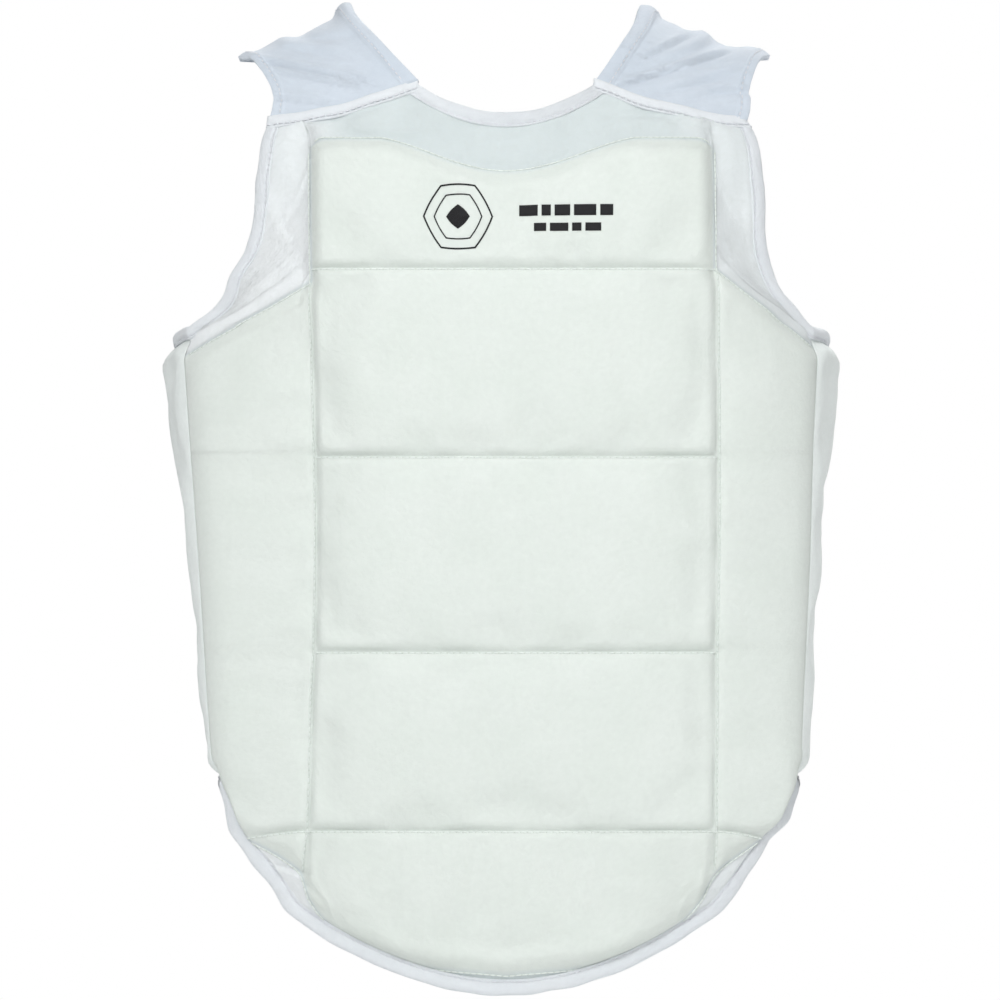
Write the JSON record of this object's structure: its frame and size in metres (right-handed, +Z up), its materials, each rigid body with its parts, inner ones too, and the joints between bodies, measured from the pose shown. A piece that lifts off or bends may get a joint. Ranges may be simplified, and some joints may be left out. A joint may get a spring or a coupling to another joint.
{
  "type": "karate body protector",
  "caption": "Sleeveless quilted foam body protector for martial arts, with side wings, stretch shoulders, a racerback and hook-and-loop side straps.",
  "frame": {"origin": "middle of the hollow that the torso fills, at chest height (mount torso)", "axes": "+Z up, -Y the way the chest faces, +X the wearer's left"},
  "size_m": [0.387, 0.1992, 0.5724],
  "materials": {
    "cover_fabric": "matte",
    "lining_fabric": "matte",
    "foam": "matte",
    "binding_fabric": "matte",
    "stretch_fabric": "matte",
    "elastic_web": "matte",
    "hook_tape": "matte",
    "loop_tape": "matte",
    "label_fabric": "matte"
  },
  "bodies": {
    "front": {"front_cover": "cover_fabric", "front_lining": "lining_fabric", "foam_chest": "foam", "foam_upper": "foam", "foam_middle": "foam", "foam_lower": "foam", "foam_side_left": "foam", "foam_side_right": "foam", "neck_binding": "binding_fabric", "armhole_binding_left": "binding_fabric", "armhole_binding_right": "binding_fabric", "hem_side_left": "binding_fabric", "hem_side_right": "binding_fabric", "shoulder_left": "stretch_fabric", "shoulder_right": "stretch_fabric", "shoulder_tape_left": "binding_fabric", "shoulder_tape_right": "binding_fabric"},
    "tail": {"tail_cover": "cover_fabric", "tail_lining": "lining_fabric", "foam_tail": "foam", "tail_hem": "binding_fabric"},
    "left_wing": {"wing_cover_left": "cover_fabric", "wing_lining_left": "lining_fabric", "wing_foam_left": "foam", "wing_binding_left": "binding_fabric", "loop_patch_left": "loop_tape"},
    "right_wing": {"wing_cover_right": "cover_fabric", "wing_lining_right": "lining_fabric", "wing_foam_right": "foam", "wing_binding_right": "binding_fabric", "loop_patch_right": "loop_tape"},
    "back": {"back_panel": "stretch_fabric", "waist_elastic": "elastic_web", "back_shoulder_left": "stretch_fabric", "back_shoulder_right": "stretch_fabric", "back_neck_binding": "binding_fabric", "back_armhole_binding_left": "binding_fabric", "back_armhole_binding_right": "binding_fabric", "size_label": "label_fabric"},
    "left_strap": {"strap_left": "elastic_web", "hook_tab_left": "hook_tape"},
    "right_strap": {"strap_right": "elastic_web", "hook_tab_right": "hook_tape"}
  },
  "joints": [
    {"name": "tail_flex", "type": "hinge", "parent": "front", "child": "tail", "pos_m": [0, -0.1, -0.234], "axis": [-1, 0, 0], "range_deg": [0, 40], "stiffness_Nm_per_rad": 0.3},
    {"name": "left_wing_fold", "type": "hinge", "parent": "front", "child": "left_wing", "pos_m": [0.1653, -0.0579, -0.2111], "axis": [0.054, 0.0741, 0.9958], "range_deg": [0, 65], "stiffness_Nm_per_rad": 0.15},
    {"name": "right_wing_fold", "type": "hinge", "parent": "front", "child": "right_wing", "pos_m": [-0.1653, -0.0579, -0.2111], "axis": [0.054, -0.0741, -0.9958], "range_deg": [0, 65], "stiffness_Nm_per_rad": 0.15},
    {"name": "back_swing", "type": "hinge", "parent": "front", "child": "back", "pos_m": [0, 0, 0.247], "axis": [1, 0, 0], "range_deg": [0, 75]},
    {"name": "left_strap_peel", "type": "hinge", "parent": "back", "child": "left_strap", "pos_m": [0.0954, 0.0998, -0.095], "axis": [0, 0, 1], "range_deg": [0, 110], "stiffness_Nm_per_rad": 0.02},
    {"name": "right_strap_peel", "type": "hinge", "parent": "back", "child": "right_strap", "pos_m": [-0.0954, 0.0998, -0.095], "axis": [0, 0, -1], "range_deg": [0, 110], "stiffness_Nm_per_rad": 0.02}
  ]
}
